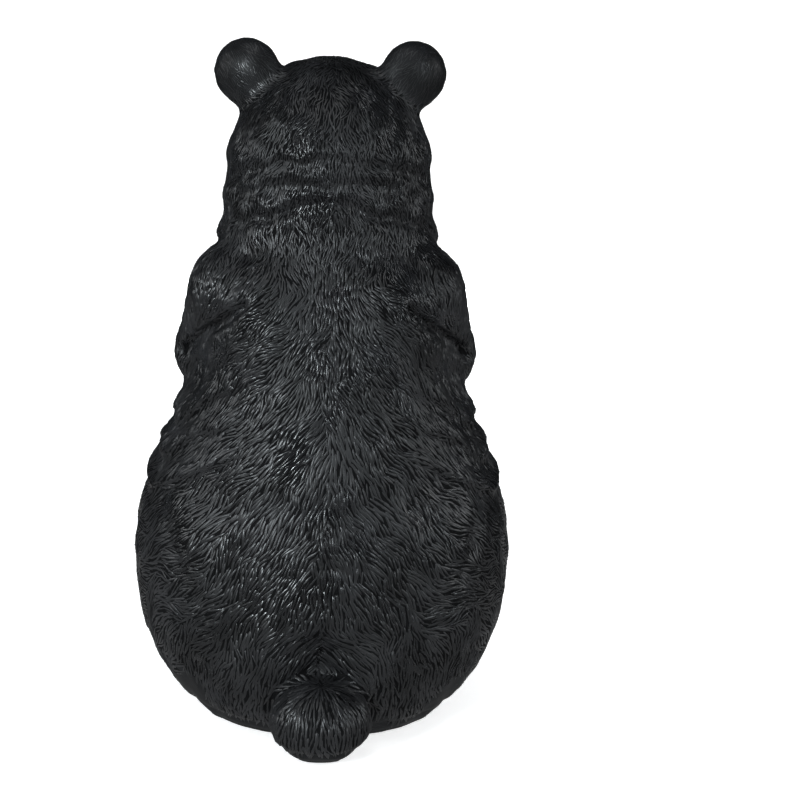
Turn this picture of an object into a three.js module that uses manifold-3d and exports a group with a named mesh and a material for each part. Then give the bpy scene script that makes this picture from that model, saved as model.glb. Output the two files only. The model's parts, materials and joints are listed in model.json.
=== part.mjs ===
// A seated bear, cast in one piece and painted black. It sits upright on its rump, with its
// forepaws on its belly and its hind feet stretched forward, soles showing.
// Millimetres, +Z up. The bear faces -Y, and the origin is on the ground under the middle of its
// bounding box.
//
// The figure is sculpted as a distance field: round forms are joined with soft fillets, folds and
// locks of fur are raised on them, and the surface where the field is zero becomes the mesh.
// Eyes, nose and claws keep crisp edges, so they are joined to it as solids of their own.

import * as THREE from "three";
import { SimplifyModifier } from "three/addons/modifiers/SimplifyModifier.js";
import { mergeVertices } from "three/addons/utils/BufferGeometryUtils.js";
import Module from "manifold-3d";

// Driving dimensions

// The trunk from the seat to the nape, as level sections: height, half width, and how far it
// reaches to the back and to the front of the middle plane.
const TRUNK_SECTIONS = [
  [-14, 48, 48, 48],
  [8, 75, 79, 74],
  [40, 90, 97, 90],
  [95, 94, 98, 94],
  [140, 89, 92, 87],
  [170, 82, 87, 76],
  [200, 71, 81, 66],
  [230, 66, 73, 57],
  [258, 61, 63, 50],
  [285, 53, 54, 46],
  [312, 44, 42, 40],
];
const TRUNK_SQUARENESS = 2.2; // exponent of the sections: 2 is an ellipse

const SKULL = { at: [0, 3, 317], radii: [53.5, 54, 53] };
const RUFF = { at: [28.5, 2, 284], radii: [22.5, 38, 24] };
const BROW = { at: [20, -42, 333], radii: [15, 11, 8] };
const MUZZLE = { root: [0, -32, 304], tip: [0, -70, 299], rootRadius: 33, tipRadius: 22 };
const CHIN = { at: [0, -60, 282], radii: [17, 25, 11] };
const EAR = { at: [45.5, 8, 361.5], radii: [20, 11.5, 20], hollow: 14, turn: 0.3 };

const SHOULDER = { at: [49.5, 29, 245], radius: 26 };
const SHOULDER_BLADE = { at: [33, 46, 226], radii: [25, 24, 36] };
const ELBOW = { at: [60.5, -8, 203], radius: 21.5 };
const WRIST = { at: [40, -70, 180], radius: 16 };
// The fold between the arm and the flank, by the places it passes and its half width there.
const ARM_FOLD = [
  { at: [41, 69, 245], radius: 1 },
  { at: [54, 60, 233], radius: 4 },
  { at: [67, 40, 221], radius: 5 },
  { at: [79, 7, 205], radius: 2.5 },
];
const FOREPAW = { at: [32, -80, 175], radii: [19, 17, 19] };

const THIGH = { at: [60, 4, 89], radii: [45.5, 76, 75] };
const KNEE = { at: [62, -66, 56], radius: 35 };
const ANKLE = { at: [61, -96, 36], radius: 25 };
const FOOT = { at: [60, -104, 36.5], radii: [26, 16, 38], lean: 0.14 };

const TAIL = { at: [0, 104, 21.5], radii: [28, 25, 22] };
const TAIL_HOLLOW = { at: [0, 104, 54], radii: [12, 10, 14] }; // the dip in the rump above it
const TAIL_CROWN = [0, 96, 44]; // the whorl that its fur fans out from

// Five toes to a paw. Their fan runs from -1 at the inner toe to 1 at the outer one.
const TOE_FAN = [-1, -0.5, 0, 0.5, 1];
const HIND_TOES = TOE_FAN.map((fan) => ({
  fan,
  at: [FOOT.at[0] + 19 * fan, FOOT.at[1] - 8, FOOT.at[2] + 30 - 6 * fan * fan],
  radii: [7, 10, 9],
}));
const FORE_TOES = TOE_FAN.map((fan) => ({
  fan,
  at: [FOREPAW.at[0] - 12 + 3 * fan * fan, FOREPAW.at[1] - 5, FOREPAW.at[2] - 12.5 * fan],
  radii: [10, 8, 5.5],
}));
const SOLE_PAD = { at: [FOOT.at[0], FOOT.at[1] - 13, FOOT.at[2] - 6], radii: [18, 7, 21] };
const CLAW = { long: 10.5, thick: 3, curl: 0.6 };
const EYE = { at: [21, -50, 322], radius: 5.2 };
const NOSE = { at: [0, -89, 306], radii: [13.5, 8, 9.5] };

// Fillets between the forms: a small one leaves a crease
const SOFT = 16;
const FIRM = 9;
const CREASED = 4;

// The coat: locks of fur, and the folds that show in the outline
const LOCK = { long: 46, wide: 19, high: 2 };
// Heights where a tier of the ruff ends at the sides, and how much of it shows at the nape.
const RUFF_TIERS = [
  { tip: 314, nape: 0 },
  { tip: 293, nape: 0.2 },
  { tip: 269, nape: 0.4 },
];
const FLANK_TIPS = [170, 155, 138]; // heights where a fold of the flank ends
const TIER_LONG = 20;
const TIER_HIGH = 2.3;
const TIER_RISE = 24; // from the sides of the head to the nape
const FOLD_LONG = 14; // of the flank
const FOLD_HIGH = 2.5;
const UNDERCUT = 0.36; // how soon a tier steps in below its tip, as a share of its length
const RELIEF_REACH = 12; // how near the surface the coat is worked out

// The mesh
const CELL = 3.3; // spacing of the grid that samples the field
const PINCH_FILL = 0.01; // depth given to a sample that closes a pinched gap
const CELL_ROOM = 0.46 * CELL; // how far a vertex may move from the middle of its cell
const BODY_VERTICES = 4050; // kept of the sampled surface
const PROJECTION_STEPS = 3;
const BOUNDS = { low: [-116, -136, -20], high: [116, 140, 390] };
const GROUND_CUT = 60; // depth of the block that levels the seat

const { clamp, lerp, smoothstep } = THREE.MathUtils;
const BLACK_RESIN = new THREE.MeshStandardMaterial({
  color: 0x161617,
  roughness: 0.45,
  metalness: 0,
});

// Distance fields

function ellipsoid(x, y, z, { at, radii }) {
  const [u, v, w] = [x - at[0], y - at[1], z - at[2]];
  const [a, b, c] = radii;
  const scaled = Math.hypot(u / a, v / b, w / c);
  const slope = Math.hypot(u / (a * a), v / (b * b), w / (c * c));
  return slope > 0 ? (scaled * (scaled - 1)) / slope : -Math.min(a, b, c);
}

// A limb that tapers from one round joint to another.
function limb(x, y, z, from, fromRadius, to, toRadius) {
  const [px, py, pz] = [x - from[0], y - from[1], z - from[2]];
  const [bx, by, bz] = [to[0] - from[0], to[1] - from[1], to[2] - from[2]];
  const along = clamp((px * bx + py * by + pz * bz) / (bx * bx + by * by + bz * bz), 0, 1);
  const away = Math.hypot(px - bx * along, py - by * along, pz - bz * along);
  return away - lerp(fromRadius, toRadius, along);
}

// Joins two fields with a fillet of about that radius.
function join(a, b, fillet) {
  const h = Math.max(fillet - Math.abs(a - b), 0) / fillet;
  return Math.min(a, b) - (h * h * fillet) / 4;
}

// Cuts b out of a, with the rim rounded over.
function carve(a, b, fillet) {
  return -join(-a, b, fillet);
}

// A point turned about X by an angle, round a centre.
function tilted(y, z, [, cy, cz], angle) {
  const [c, s] = [Math.cos(angle), Math.sin(angle)];
  return [cy + c * (y - cy) + s * (z - cz), cz - s * (y - cy) + c * (z - cz)];
}

// A point turned about Z by an angle, round a centre.
function turned(x, y, [cx, cy], angle) {
  const [c, s] = [Math.cos(angle), Math.sin(angle)];
  return [cx + c * (x - cx) + s * (y - cy), cy - s * (x - cx) + c * (y - cy)];
}

// The forms of the bear, for a point on the side where x is positive

const trunkProfile = new THREE.CubicInterpolant(
  TRUNK_SECTIONS.map(([z]) => z),
  TRUNK_SECTIONS.flatMap(([, ...reach]) => reach),
  3,
);
const TRUNK_FOOT = TRUNK_SECTIONS[0][0];
const TRUNK_TOP = TRUNK_SECTIONS.at(-1)[0];

function trunk(x, y, z) {
  const [half, back, front] = trunkProfile.evaluate(z);
  const away = Math.hypot(x, y) || 1e-6;
  const across = Math.abs(x) / away / half;
  const deep = Math.abs(y) / away / (y > 0 ? back : front);
  const reach = (across ** TRUNK_SQUARENESS + deep ** TRUNK_SQUARENESS) ** (-1 / TRUNK_SQUARENESS);
  return Math.max(away - reach, z - TRUNK_TOP, TRUNK_FOOT - z);
}

function head(x, y, z) {
  let d = join(ellipsoid(x, y, z, SKULL), ellipsoid(x, y, z, RUFF), SOFT);
  d = join(d, ellipsoid(x, y, z, BROW), FIRM);
  const { root, tip, rootRadius, tipRadius } = MUZZLE;
  d = join(d, limb(x, y, z, root, rootRadius, tip, tipRadius), SOFT);
  return join(d, ellipsoid(x, y, z, CHIN), CREASED);
}

// A cupped disc, domed behind and hollow in front, that faces a little outwards.
function ear(x, y, z) {
  const [u, v] = turned(x, y, EAR.at, -EAR.turn);
  const [cx, cy, cz] = EAR.at;
  const cup = { at: [cx, cy - EAR.radii[1], cz - 1], radii: [EAR.hollow, EAR.radii[1], EAR.hollow] };
  return carve(ellipsoid(u, v, z, EAR), ellipsoid(u, v, z, cup), CREASED);
}

function arm(x, y, z) {
  const upper = limb(x, y, z, SHOULDER.at, SHOULDER.radius, ELBOW.at, ELBOW.radius);
  const fore = limb(x, y, z, ELBOW.at, ELBOW.radius, WRIST.at, WRIST.radius);
  let d = join(join(upper, fore, FIRM), ellipsoid(x, y, z, FOREPAW), FIRM);
  for (const toe of FORE_TOES) d = join(d, ellipsoid(x, y, z, toe), CREASED / 2);
  return d;
}

function armFold(x, y, z) {
  const runs = ARM_FOLD.slice(1).map((end, i) => {
    const start = ARM_FOLD[i];
    return limb(x, y, z, start.at, start.radius, end.at, end.radius);
  });
  return Math.min(...runs);
}

// A sole stands up facing forward, with one large pad and a row of toes over it.
function foot(x, y, z) {
  const [v, w] = tilted(y, z, FOOT.at, FOOT.lean);
  let d = join(ellipsoid(x, v, w, FOOT), ellipsoid(x, v, w, SOLE_PAD), CREASED / 2);
  for (const toe of HIND_TOES) d = join(d, ellipsoid(x, v, w, toe), CREASED / 2);
  return d;
}

function leg(x, y, z) {
  const shin = limb(x, y, z, KNEE.at, KNEE.radius, ANKLE.at, ANKLE.radius);
  const thigh = join(ellipsoid(x, y, z, THIGH), shin, SOFT);
  return join(thigh, foot(x, y, z), CREASED);
}

// The coat

function chance(n) {
  const spread = Math.sin(n * 127.1) * 43758.5453;
  return spread - Math.floor(spread);
}

// Staggered pointed locks, 0 between them and 1 at their tips.
function locks(along, across) {
  const column = Math.floor(across / LOCK.wide);
  const aside = 2 * (across / LOCK.wide - column) - 1;
  const run = along / LOCK.long + chance(column);
  const down = run - Math.floor(run);
  const wide = 1 - 0.55 * down * down;
  const crown = Math.max(0, 1 - (aside / wide) ** 2);
  return crown * (0.3 + 0.7 * down) * (1 - smoothstep(down, 0.82, 1));
}

// Fur lies away from the nose on the head, fans from its crown on the tail, and parts at the
// spine on the trunk, where it runs down and out.
function fur(x, y, z) {
  const fromNose = Math.hypot(x, y - NOSE.at[1], z - NOSE.at[2]);
  const roundNose = Math.atan2(x, 0.61 * y + 0.79 * (z - SKULL.at[2])) * SKULL.radii[0];
  const onHead = locks(fromNose, roundNose);
  const roundTrunk = Math.abs(Math.atan2(x, y)) * THIGH.radii[1];
  const onTrunk = locks(TRUNK_TOP - z, roundTrunk - 0.45 * (TRUNK_TOP - z));
  const fromCrown = Math.hypot(x, y - TAIL_CROWN[1], z - TAIL_CROWN[2]);
  const onTail = locks(fromCrown, Math.atan2(x, TAIL_CROWN[2] - z) * TAIL.radii[0]);
  const upper = lerp(onTrunk, onHead, smoothstep(z, 258, 284));
  return lerp(onTail, upper, smoothstep(ellipsoid(x, y, z, TAIL), 3, 8));
}

// A tier that swells down to its tip and steps in below it.
function tier(z, tip, long) {
  const up = (z - tip) / long;
  return up < 0 ? smoothstep(up, -UNDERCUT, 0) : 1 - smoothstep(up, 0, 1);
}

// The tiers of the ruff, round the back and sides of the head. Their tips rise to the middle.
function ruffTiers(x, y, z) {
  const rise = TIER_RISE * (1 - smoothstep(x, 0, 1.1 * SKULL.radii[0]));
  const behind = smoothstep(y, -30, 5);
  const aside = smoothstep(x, 0.5 * SKULL.radii[0], 0.9 * SKULL.radii[0]);
  const tiers = RUFF_TIERS.map(
    ({ tip, nape }) => lerp(nape, 1, aside) * tier(z - rise, tip, TIER_LONG),
  );
  return behind * Math.max(...tiers);
}

// The folds of the flank under the arm, which slant up to the back and fade out there.
function flankFolds(x, y, z) {
  const slant = 0.75 * Math.max(0, 86 - x) + 2.5 * Math.sin(y / 7);
  const aside = smoothstep(x, 34, 66) * smoothstep(y, -40, 20);
  const folds = FLANK_TIPS.map((tip) => tier(z - slant, tip, FOLD_LONG));
  return aside * Math.max(...folds);
}

// Where the hide is bare or short: the face, the paws and the soles.
function furred(x, y, z) {
  const face = smoothstep(y, -62, -22) + (1 - smoothstep(z, 262, 276));
  const sole = smoothstep(y, -108, -88);
  const ears = smoothstep(ear(x, y, z), 1, 6);
  return clamp(face, 0, 1) * sole * ears;
}

function bear(px, y, z) {
  const x = Math.abs(px);
  let d = join(trunk(x, y, z), head(x, y, z), SOFT);
  d = join(d, ellipsoid(x, y, z, SHOULDER_BLADE), SOFT);
  d = join(d, leg(x, y, z), SOFT);
  d = carve(d, ellipsoid(x, y, z, TAIL_HOLLOW), SOFT);
  if (Math.abs(d) < RELIEF_REACH) {
    d -= TIER_HIGH * ruffTiers(x, y, z) + FOLD_HIGH * flankFolds(x, y, z);
  }
  d = carve(join(d, arm(x, y, z), CREASED), armFold(x, y, z), CREASED);
  d = join(d, ear(x, y, z), CREASED);
  d = join(d, ellipsoid(x, y, z, TAIL), CREASED);
  return Math.abs(d) < RELIEF_REACH ? d - LOCK.high * furred(x, y, z) * fur(x, y, z) : d;
}

// Turning the field into a mesh

// One vertex in each cell that the surface crosses, joined by a quad across each crossed edge.
function surfaceOf(field) {
  const size = [0, 1, 2].map((i) => Math.ceil((BOUNDS.high[i] - BOUNDS.low[i]) / CELL) + 1);
  const [nx, ny, nz] = size;
  const at = (i, j, k) => i + nx * (j + ny * k);
  const place = (i, axis) => BOUNDS.low[axis] + CELL * i;
  const values = new Float32Array(nx * ny * nz);
  for (let k = 0; k < nz; k++)
    for (let j = 0; j < ny; j++)
      for (let i = 0; i < nx; i++) values[at(i, j, k)] = field(place(i, 0), place(j, 1), place(k, 2));

  const steps = [[1, 0, 0], [0, 1, 0], [0, 0, 1]];
  // Where two inside samples meet only across a diagonal, the gap between them is filled.
  const fillPinch = (i, j, k, [a, b, c], [d, e, f]) => {
    const square = [at(i, j, k), at(i + a, j + b, k + c), at(i + d, j + e, k + f)];
    square.push(at(i + a + d, j + b + e, k + c + f));
    const [p, q, r, s] = square.map((n) => values[n] < 0);
    if (p !== s || q !== r || p === q) return false;
    values[p ? square[1] : square[0]] = -PINCH_FILL;
    return true;
  };
  let pinched = true;
  while (pinched) {
    pinched = false;
    for (let k = 0; k < nz - 1; k++)
      for (let j = 0; j < ny - 1; j++)
        for (let i = 0; i < nx - 1; i++)
          for (const [u, v] of [[0, 1], [1, 2], [2, 0]])
            pinched = fillPinch(i, j, k, steps[u], steps[v]) || pinched;
  }

  const vertexOf = new Map();
  const positions = [];
  const corners = [0, 1, 2, 3, 4, 5, 6, 7].map((c) => [c & 1, (c >> 1) & 1, c >> 2]);
  for (let k = 0; k < nz - 1; k++)
    for (let j = 0; j < ny - 1; j++)
      for (let i = 0; i < nx - 1; i++) {
        const inside = corners.filter(([a, b, c]) => values[at(i + a, j + b, k + c)] < 0);
        if (inside.length === 0 || inside.length === corners.length) continue;
        vertexOf.set(at(i, j, k), positions.length / 3);
        const middle = [i, j, k].map((n, axis) => place(n + 0.5, axis));
        positions.push(...onto(field, middle));
      }

  const triangles = [];
  for (let k = 1; k < nz - 1; k++)
    for (let j = 1; j < ny - 1; j++)
      for (let i = 1; i < nx - 1; i++) {
        const here = values[at(i, j, k)] < 0;
        steps.forEach(([a, b, c], axis) => {
          if (here === values[at(i + a, j + b, k + c)] < 0) return;
          const [u, v] = [steps[(axis + 1) % 3], steps[(axis + 2) % 3]];
          const cell = (m, n) =>
            vertexOf.get(at(i - m * u[0] - n * v[0], j - m * u[1] - n * v[1], k - m * u[2] - n * v[2]));
          const quad = [cell(0, 0), cell(1, 0), cell(1, 1), cell(0, 1)];
          if (!here) quad.reverse();
          triangles.push(quad[0], quad[1], quad[2], quad[0], quad[2], quad[3]);
        });
      }
  const geometry = new THREE.BufferGeometry();
  geometry.setAttribute("position", new THREE.Float32BufferAttribute(positions, 3));
  geometry.setIndex(triangles);
  return geometry;
}

// Moves a point along the field's slope until it lies on the surface, but not out of its cell.
function onto(field, start) {
  const h = 0.2;
  const p = [...start];
  for (let step = 0; step < PROJECTION_STEPS; step++) {
    const d = field(...p);
    const slope = p.map((_, axis) => {
      const [ahead, behind] = [[...p], [...p]];
      ahead[axis] += h;
      behind[axis] -= h;
      return (field(...ahead) - field(...behind)) / (2 * h);
    });
    const steep = Math.max(slope.reduce((sum, s) => sum + s * s, 0), 0.25);
    for (let axis = 0; axis < 3; axis++) {
      const moved = p[axis] - (d * slope[axis]) / steep;
      p[axis] = clamp(moved, start[axis] - CELL_ROOM, start[axis] + CELL_ROOM);
    }
  }
  return p;
}

// Crisp details

function ball(wide, high) {
  const sphere = new THREE.SphereGeometry(1, wide, high);
  sphere.deleteAttribute("normal");
  sphere.deleteAttribute("uv");
  return mergeVertices(sphere);
}

function blob({ at, radii }, wide = 12, high = 8) {
  return ball(wide, high).scale(...radii).translate(...at);
}

// A claw that grows along +Y from its root and curls towards -Z.
function claw() {
  const geometry = ball(6, 5).rotateX(Math.PI / 2);
  const position = geometry.attributes.position;
  for (let i = 0; i < position.count; i++) {
    const along = (position.getY(i) + 1) / 2;
    const thick = CLAW.thick * (1.15 - 0.75 * along);
    position.setXYZ(
      i,
      position.getX(i) * thick,
      along * CLAW.long,
      position.getZ(i) * thick * 1.25 - CLAW.curl * CLAW.long * along * along * 0.6,
    );
  }
  return geometry;
}

// The claws of a hind foot point up and forward from its toes.
function hindClaws() {
  return HIND_TOES.map(({ at, fan }) => {
    const [x, y, z] = at;
    const [v, w] = tilted(y, z, FOOT.at, -FOOT.lean);
    return claw().rotateX(0.5).rotateZ(Math.PI - 0.25 * fan).translate(x, v - 6, w + 4);
  });
}

// The claws of a forepaw lie on the belly and point to the middle.
function foreClaws() {
  return FORE_TOES.map(({ at, fan }) => {
    const [x, y, z] = at;
    return claw().rotateZ(Math.PI / 2).rotateY(0.25 * fan).translate(x - 3, y - 3, z);
  });
}

// Assembly

const wasm = await Module();
wasm.setup();

function solid({ attributes, index }) {
  const mesh = new wasm.Mesh({
    numProp: 3,
    vertProperties: attributes.position.array,
    triVerts: new Uint32Array(index.array),
  });
  return new wasm.Manifold(mesh);
}

function geometryOf(manifold) {
  const { vertProperties, triVerts } = manifold.getMesh();
  const geometry = new THREE.BufferGeometry();
  geometry.setAttribute("position", new THREE.BufferAttribute(vertProperties, 3));
  geometry.setIndex(new THREE.BufferAttribute(triVerts, 1));
  return geometry;
}

// A form of one side and its mirror image.
function bothSides(geometry) {
  const mirrored = geometry.clone().scale(-1, 1, 1);
  const index = mirrored.index.array;
  for (let i = 0; i < index.length; i += 3) [index[i], index[i + 1]] = [index[i + 1], index[i]];
  return [geometry, mirrored];
}

async function body() {
  const sampled = surfaceOf(bear);
  const surplus = sampled.attributes.position.count - BODY_VERTICES;
  return new SimplifyModifier().modify(sampled, surplus);
}

function seatBlock() {
  const [wide, deep] = [0, 1].map((i) => 2 * (BOUNDS.high[i] - BOUNDS.low[i]));
  const block = new THREE.BoxGeometry(wide, deep, GROUND_CUT).translate(0, 0, -GROUND_CUT / 2);
  block.deleteAttribute("normal");
  block.deleteAttribute("uv");
  return mergeVertices(block);
}

const eye = blob({ at: EYE.at, radii: Array(3).fill(EYE.radius) }, 8, 6);
const paired = [eye, ...hindClaws(), ...foreClaws()].flatMap(bothSides);
const nose = blob(NOSE, 10, 7);
const figure = [await body(), nose, ...paired].map(solid).reduce((whole, form) => whole.add(form));
const seated = geometryOf(figure.subtract(solid(seatBlock())));

seated.computeBoundingBox();
const middle = seated.boundingBox.getCenter(new THREE.Vector3());
seated.translate(-middle.x, -middle.y, -seated.boundingBox.min.z);

const statue = new THREE.Group();
const bearMesh = new THREE.Mesh(seated, BLACK_RESIN);
bearMesh.name = "bear";
statue.add(bearMesh);

export default statue;
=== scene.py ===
# %% [markdown]
# # A seated bear, cast in resin and painted black
#
# The statue is one casting. Its model is made from the big forms down: tiers and folds are pressed
# into the coat, and at last the whole hide is combed with a pointed tool, one stroke beside another.
# This lesson goes the same way: the body, its folds, the lie of the fur, the strokes, the small
# hard parts of face and paws, the paint, and then the studio.

# %% Loading the frame
import json
import math

import bmesh
import bpy
import numpy as np
from mathutils import Matrix, Vector
from mathutils.bvhtree import BVHTree
from mathutils.kdtree import KDTree

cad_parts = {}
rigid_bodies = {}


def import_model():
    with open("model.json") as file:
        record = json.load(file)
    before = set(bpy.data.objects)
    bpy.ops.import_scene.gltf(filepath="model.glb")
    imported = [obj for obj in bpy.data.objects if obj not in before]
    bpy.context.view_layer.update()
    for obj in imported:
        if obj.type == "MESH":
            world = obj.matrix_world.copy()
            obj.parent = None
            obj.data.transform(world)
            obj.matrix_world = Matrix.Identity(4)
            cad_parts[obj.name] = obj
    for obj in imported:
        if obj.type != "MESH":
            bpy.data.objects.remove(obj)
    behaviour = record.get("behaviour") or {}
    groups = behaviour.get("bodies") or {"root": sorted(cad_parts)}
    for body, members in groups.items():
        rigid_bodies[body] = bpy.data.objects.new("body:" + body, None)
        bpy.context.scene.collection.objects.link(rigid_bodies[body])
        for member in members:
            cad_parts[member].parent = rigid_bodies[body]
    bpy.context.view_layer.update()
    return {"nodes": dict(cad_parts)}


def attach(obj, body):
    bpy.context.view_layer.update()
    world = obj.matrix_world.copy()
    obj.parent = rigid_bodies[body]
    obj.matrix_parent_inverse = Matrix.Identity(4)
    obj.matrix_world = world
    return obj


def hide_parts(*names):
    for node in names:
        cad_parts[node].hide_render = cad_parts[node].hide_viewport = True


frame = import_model()
MM = 0.001
print("solids:", sorted(frame["nodes"]))

# %% [markdown]
# ## The body
#
# The solid has the right form, but its facets are about a centimetre wide. A copy of it is
# remeshed into small even squares with the Remesh modifier, and the Smooth modifier rounds the
# facets off. Sculptors call this the block-out: no hair yet, only the mass that carries it.

# %% Helpers for pieces
def new_piece(name, mesh):
    piece = bpy.data.objects.new(name, mesh)
    bpy.context.scene.collection.objects.link(piece)
    return piece


def with_modifiers_applied(piece):
    depsgraph = bpy.context.evaluated_depsgraph_get()
    shaped = bpy.data.meshes.new_from_object(piece.evaluated_get(depsgraph))
    piece.modifiers.clear()
    piece.data = shaped
    return piece


def points_of(mesh):
    flat = np.empty(len(mesh.vertices) * 3, np.float32)
    mesh.vertices.foreach_get("co", flat)
    return flat.reshape(-1, 3).astype(float)


def normals_of(mesh):
    flat = np.empty(len(mesh.vertices) * 3, np.float32)
    mesh.vertices.foreach_get("normal", flat)
    return flat.reshape(-1, 3).astype(float)


def move_points(mesh, points):
    mesh.vertices.foreach_set("co", points.astype(np.float32).ravel())
    mesh.update()


def triangle_count(mesh):
    return sum(len(face.vertices) - 2 for face in mesh.polygons)


# %% The block-out
BODY_CELL = 1.95 * MM
SMOOTHING_ROUNDS = 16
SAME_POINT = 0.001 * MM

body = new_piece("body", frame["nodes"]["bear"].data.copy())
body.data.materials.clear()
form = bmesh.new()
form.from_mesh(body.data)
bmesh.ops.remove_doubles(form, verts=form.verts, dist=SAME_POINT)
form.to_mesh(body.data)
form.free()

remesh = body.modifiers.new("even squares", "REMESH")
remesh.mode = "VOXEL"
remesh.voxel_size = BODY_CELL
smooth = body.modifiers.new("round the facets", "SMOOTH")
smooth.factor = 0.5
smooth.iterations = SMOOTHING_ROUNDS
with_modifiers_applied(body)
print("body:", len(body.data.vertices), "points,", triangle_count(body.data), "triangles")

# %% [markdown]
# ## Folds and creases
#
# Tiers of the ruff step in one below another on the head, with ragged edges that hang over the nape.
# Three slanting folds lie on each flank, creases part the arms and the tail from the trunk, a valley
# runs down each hip, a sunk line rings each sole's pad and a seam goes round the foot. A modeller
# presses these with a round stick. Here each is a function of where a point is: it says how far that
# point moves out or in along its normal. A point on the bear's right side is looked up on its left,
# so both sides match but for the ragged edges.

# %% Functions of a point, in millimetres
def ease(value, low, high):
    share = np.clip((value - low) / (high - low), 0, 1)
    return share * share * (3 - 2 * share)


def on_left(points):
    return np.abs(points) * (1, 0, 0) + points * (0, 1, 1)


WAVES = 7
WAVE_LENGTHS = (0.7, 1.4)
WAVES_HIGH = 3.2


def waviness(points, length, seed):
    """A smooth random field, mostly between -1 and 1, with waves of about that length."""
    rng = np.random.default_rng(seed)
    total = np.zeros(len(points))
    for _ in range(WAVES):
        wave = rng.normal(size=3)
        wave *= 2 * np.pi / (length * rng.uniform(*WAVE_LENGTHS) * np.linalg.norm(wave))
        total += np.sin(points @ wave + rng.uniform(0, 2 * np.pi))
    return total / WAVES_HIGH


def tier(height, tip, long, undercut):
    """A fold of fur seen from the side: it swells down to its tip and turns in sharply below."""
    up = (height - tip) / long
    return np.where(up < 0, ease(up, -undercut, 0), 1 - ease(up, 0, 1))


# The height of each tier's tip at the side of the head, and its share at the nape.
RUFF_TIPS = ((314, 0), (293, 0.25), (269, 0.4))
RUFF_LONG, RUFF_UNDERCUT, RUFF_RISE = 20, 0.2, 24
FLANK_TIPS = (170, 155, 138)
FLANK_LONG, FLANK_UNDERCUT, FLANK_SLANT, FLANK_OUTSIDE = 14, 0.25, 0.75, 86


def ruff_tiers(x, y, z):
    rise = RUFF_RISE * (1 - ease(x, 0, 58))
    waves = 1.6 * np.sin(x / 3.1 + 0.5) + 1.1 * np.sin(y / 2.7 + x / 7)
    aside = ease(x, 27, 48)
    tiers = [
        (nape + (1 - nape) * aside) * tier(z - rise + waves, tip, RUFF_LONG, RUFF_UNDERCUT)
        for tip, nape in RUFF_TIPS
    ]
    return ease(y, -30, 5) * np.maximum.reduce(tiers)


def flank_folds(x, y, z):
    slant = FLANK_SLANT * np.maximum(0, FLANK_OUTSIDE - x) + 2.5 * np.sin(y / 7)
    folds = [tier(z - slant, tip, FLANK_LONG, FLANK_UNDERCUT) for tip in FLANK_TIPS]
    return ease(x, 34, 66) * ease(y, -40, 20) * np.maximum.reduce(folds)


# %% Distances, in millimetres
FAR = 1e9
PAD_X, PAD_Z, PAD_WIDE, PAD_HIGH = 60, 32, 14, 17
PAD_FRONT, PAD_EDGE = -108, 0.13


def distance_to_line(points, line):
    nearest = np.full(len(points), FAR)
    for start, end in zip(line[:-1], line[1:]):
        start, along = np.array(start, float), np.array(end, float) - np.array(start, float)
        share = np.clip((points - start) @ along / (along @ along), 0, 1)
        away = np.linalg.norm(points - start - share[:, None] * along, axis=1)
        nearest = np.minimum(nearest, away)
    return nearest


def sole_pad_edge(x, y, z):
    away = np.hypot((x - PAD_X) / PAD_WIDE, (z - PAD_Z) / PAD_HIGH)
    return np.where(y < PAD_FRONT, np.exp(-(((away - 1) / PAD_EDGE) ** 2)), 0)


def crease(points, line, width):
    return np.exp(-((distance_to_line(points, line) / width) ** 2))


# %% Where the creases run, and how deep and wide they are
ARM_CREASE = [
    (45, 65, 242), (53, 58, 234), (60, 46, 227), (67, 33, 220), (75, 13, 209), (79, 5, 204),
]
COLLAR = [
    (0, 58, 297), (14, 56, 295), (29, 52, 290), (44, 42, 285), (52, 31, 280), (58, 18, 273),
    (60, 4, 266),
]
RUFF_EDGE = [
    (0, 58, 306), (15, 56, 306), (26, 52, 306), (38, 46, 303), (49, 34, 296), (54, 20, 287),
]
CROWN_EDGE = [
    (0, 59, 320), (18, 56, 319), (29, 50, 316), (41, 41, 312), (50, 28, 306), (53, 12, 300),
]
HIP_VALLEY = [(91, 42, 137), (88, 53, 127), (84, 66, 114), (78, 76, 97), (70, 82, 82)]
MOUTH = [(0, -91, 291), (9, -88, 289), (17, -78, 288), (21, -66, 289), (24, -54, 293)]
PHILTRUM = [(0, -93, 301), (0, -92, 291)]
TAIL_CREASE = [(0, 95, 48), (12, 94, 44), (22, 92, 36), (28, 89, 22), (29, 86, 8)]
# Each line with its depth, and in GROOVES with its width.
NAPE_EDGES = ((COLLAR, 2.4), (RUFF_EDGE, 1.6), (CROWN_EDGE, 1.6))
GROOVES = (
    (ARM_CREASE, 5.0, 3.4),
    (HIP_VALLEY, 1.5, 6),
    (MOUTH, 2.2, 2.0),
    (PHILTRUM, 1.4, 1.6),
    (TAIL_CREASE, 3.8, 4.0),
)
RUFF_OUT, FLANK_OUT, ARM_OUT, ARM_OUT_WIDE = 0.4, 1.8, 2.2, 11
RAGGED, RAGGED_LENGTH = 1.6, 14
NAPE_EDGE_WIDE, OVERHANG_UP, OVERHANG_OUT, OVERHANG_WIDE = 2.6, 6, 0.5, 5
BASE_SEAM, BASE_SEAM_WIDE, BASE_SEAM_DEEP = 8.5, 2.0, 1.0
PAD_DEEP = 1.2
COAT_DEPTH = 0.45
FLAT_BASE = 2
print("creases:", len(GROOVES) + len(NAPE_EDGES))

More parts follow.
